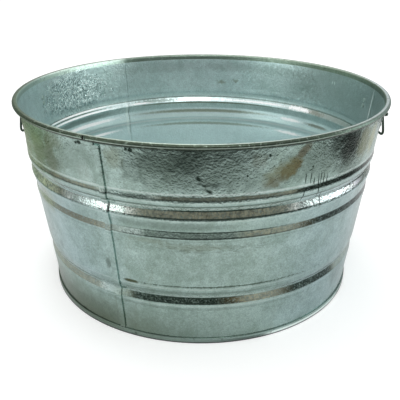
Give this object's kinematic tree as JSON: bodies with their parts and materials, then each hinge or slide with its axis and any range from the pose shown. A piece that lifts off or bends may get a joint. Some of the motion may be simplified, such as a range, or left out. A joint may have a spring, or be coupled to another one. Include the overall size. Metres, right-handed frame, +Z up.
{
  "type": "galvanized wash tub",
  "caption": "Round flared wash tub of beaded galvanized sheet with a wired rim, lock-seamed sides, a double-seamed bottom and drop handles in riveted ears.",
  "frame": {"origin": "centre of the base, on the plane that the tub stands on", "axes": "+Z up along the tub's axis, X through the middle of the two handles, -Y towards the front of the picture"},
  "size_m": [0.61, 0.61, 0.324],
  "materials": {
    "galvanized_sheet": "weathered hot-dip galvanized, dull grey-green with stains",
    "galvanized_wire": "dark weathered galvanized wire",
    "galvanized_fittings": "weathered galvanized"
  },
  "bodies": {
    "tub": {"wall_panel_right": "galvanized_sheet", "wall_panel_back": "galvanized_sheet", "wall_panel_left": "galvanized_sheet", "bottom_pan": "galvanized_sheet", "rim_wire": "galvanized_wire", "ear_right_front": "galvanized_fittings", "ear_right_back": "galvanized_fittings", "ear_left_front": "galvanized_fittings", "ear_left_back": "galvanized_fittings", "rivets_right": "galvanized_fittings", "rivets_left": "galvanized_fittings"},
    "handle_right": {"handle_right": "galvanized_wire"},
    "handle_left": {"handle_left": "galvanized_wire"}
  },
  "joints": [
    {"name": "handle_right_swing", "type": "hinge", "parent": "tub", "child": "handle_right", "pos_m": [0.29298, 0, 0.298], "axis": [0, -1, 0], "range_deg": [0, 140]},
    {"name": "handle_left_swing", "type": "hinge", "parent": "tub", "child": "handle_left", "pos_m": [-0.29298, 0, 0.298], "axis": [0, 1, 0], "range_deg": [0, 140]}
  ]
}
